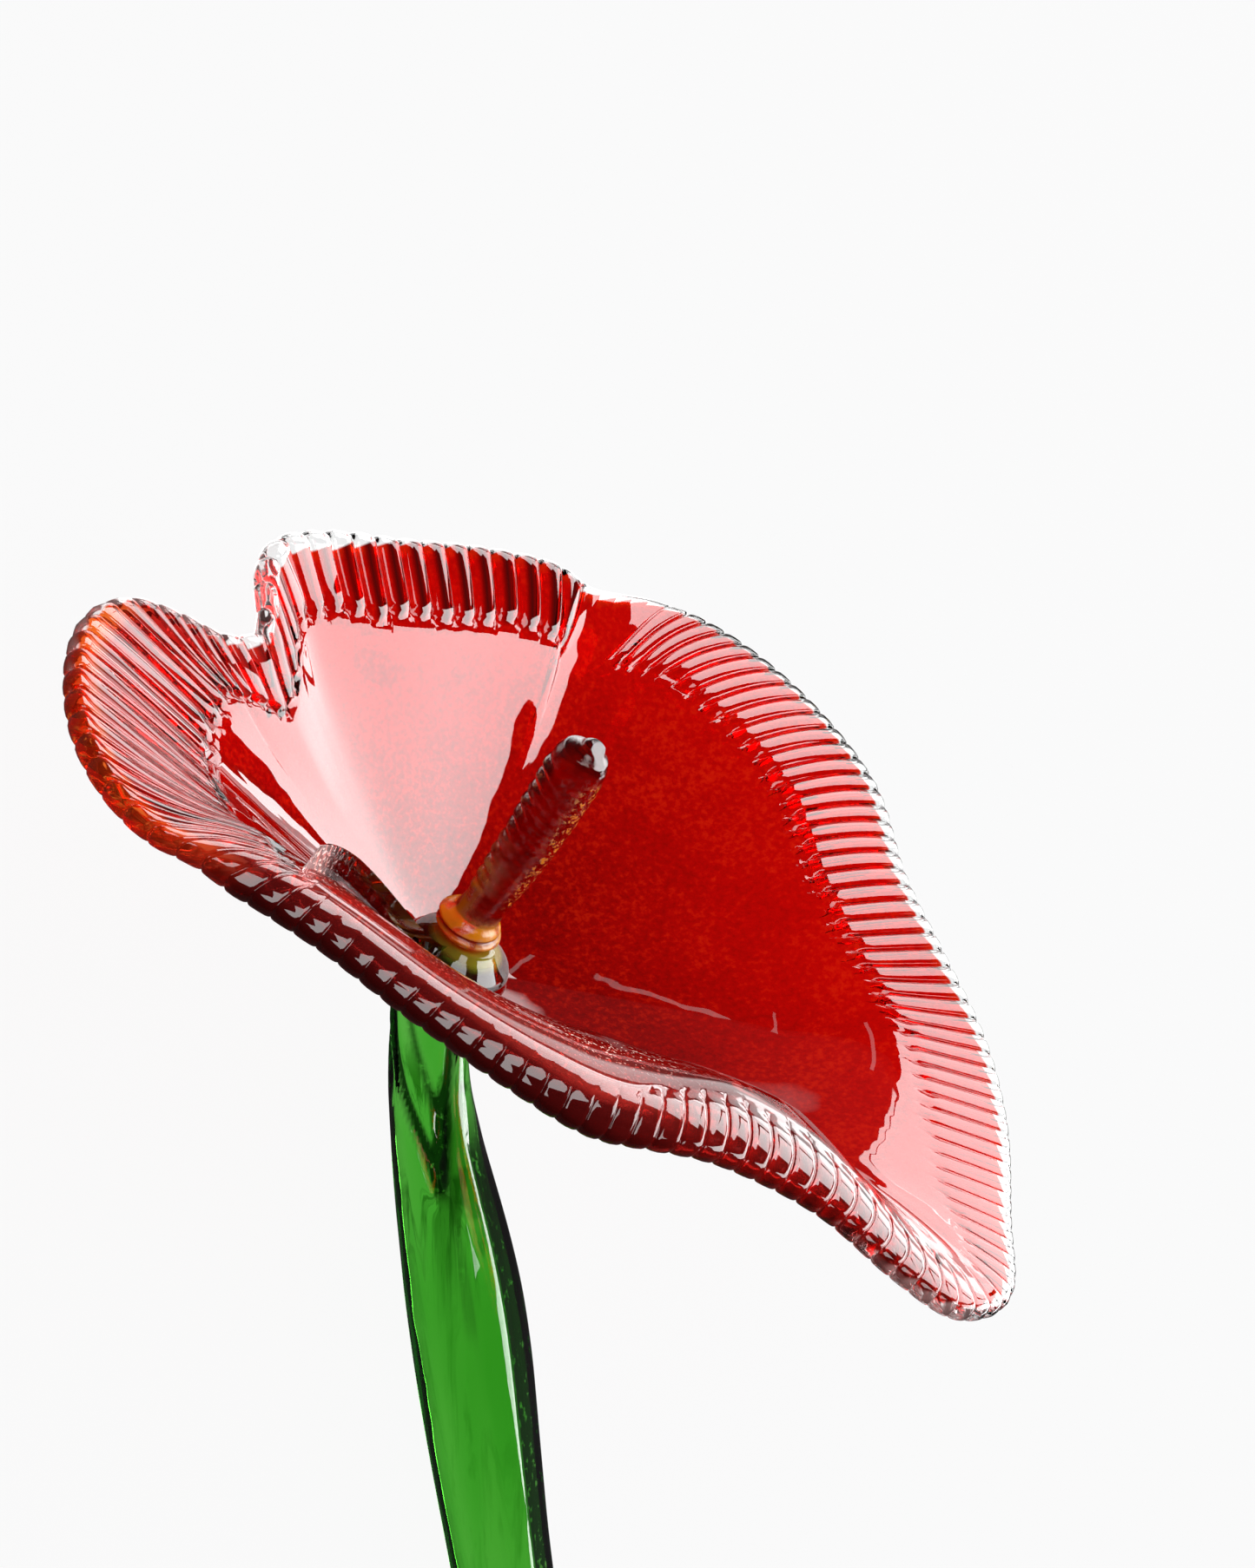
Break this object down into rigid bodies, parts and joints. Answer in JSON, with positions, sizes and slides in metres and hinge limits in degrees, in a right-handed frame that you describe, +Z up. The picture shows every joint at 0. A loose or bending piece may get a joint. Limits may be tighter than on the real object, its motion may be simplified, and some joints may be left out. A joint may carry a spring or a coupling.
{
  "type": "glass anthurium flower",
  "caption": "Hand-made glass flower lying on its side: a heart-shaped red dish with a crimped rim, an amber spadix in it, and a long green glass stem.",
  "frame": {"origin": "on the surface that the flower lies on, under the middle of its bounding box", "axes": "+Z up from the surface; +Y from the cut end of the stem towards the bloom, +X towards the tip of the heart"},
  "size_m": [0.1041, 0.2972, 0.0639],
  "materials": {
    "red_glass": "polished",
    "green_glass": "polished",
    "amber_glass": "polished"
  },
  "bodies": {
    "root": {"spathe": "red_glass", "stem": "green_glass", "spadix": "amber_glass"}
  },
  "joints": []
}
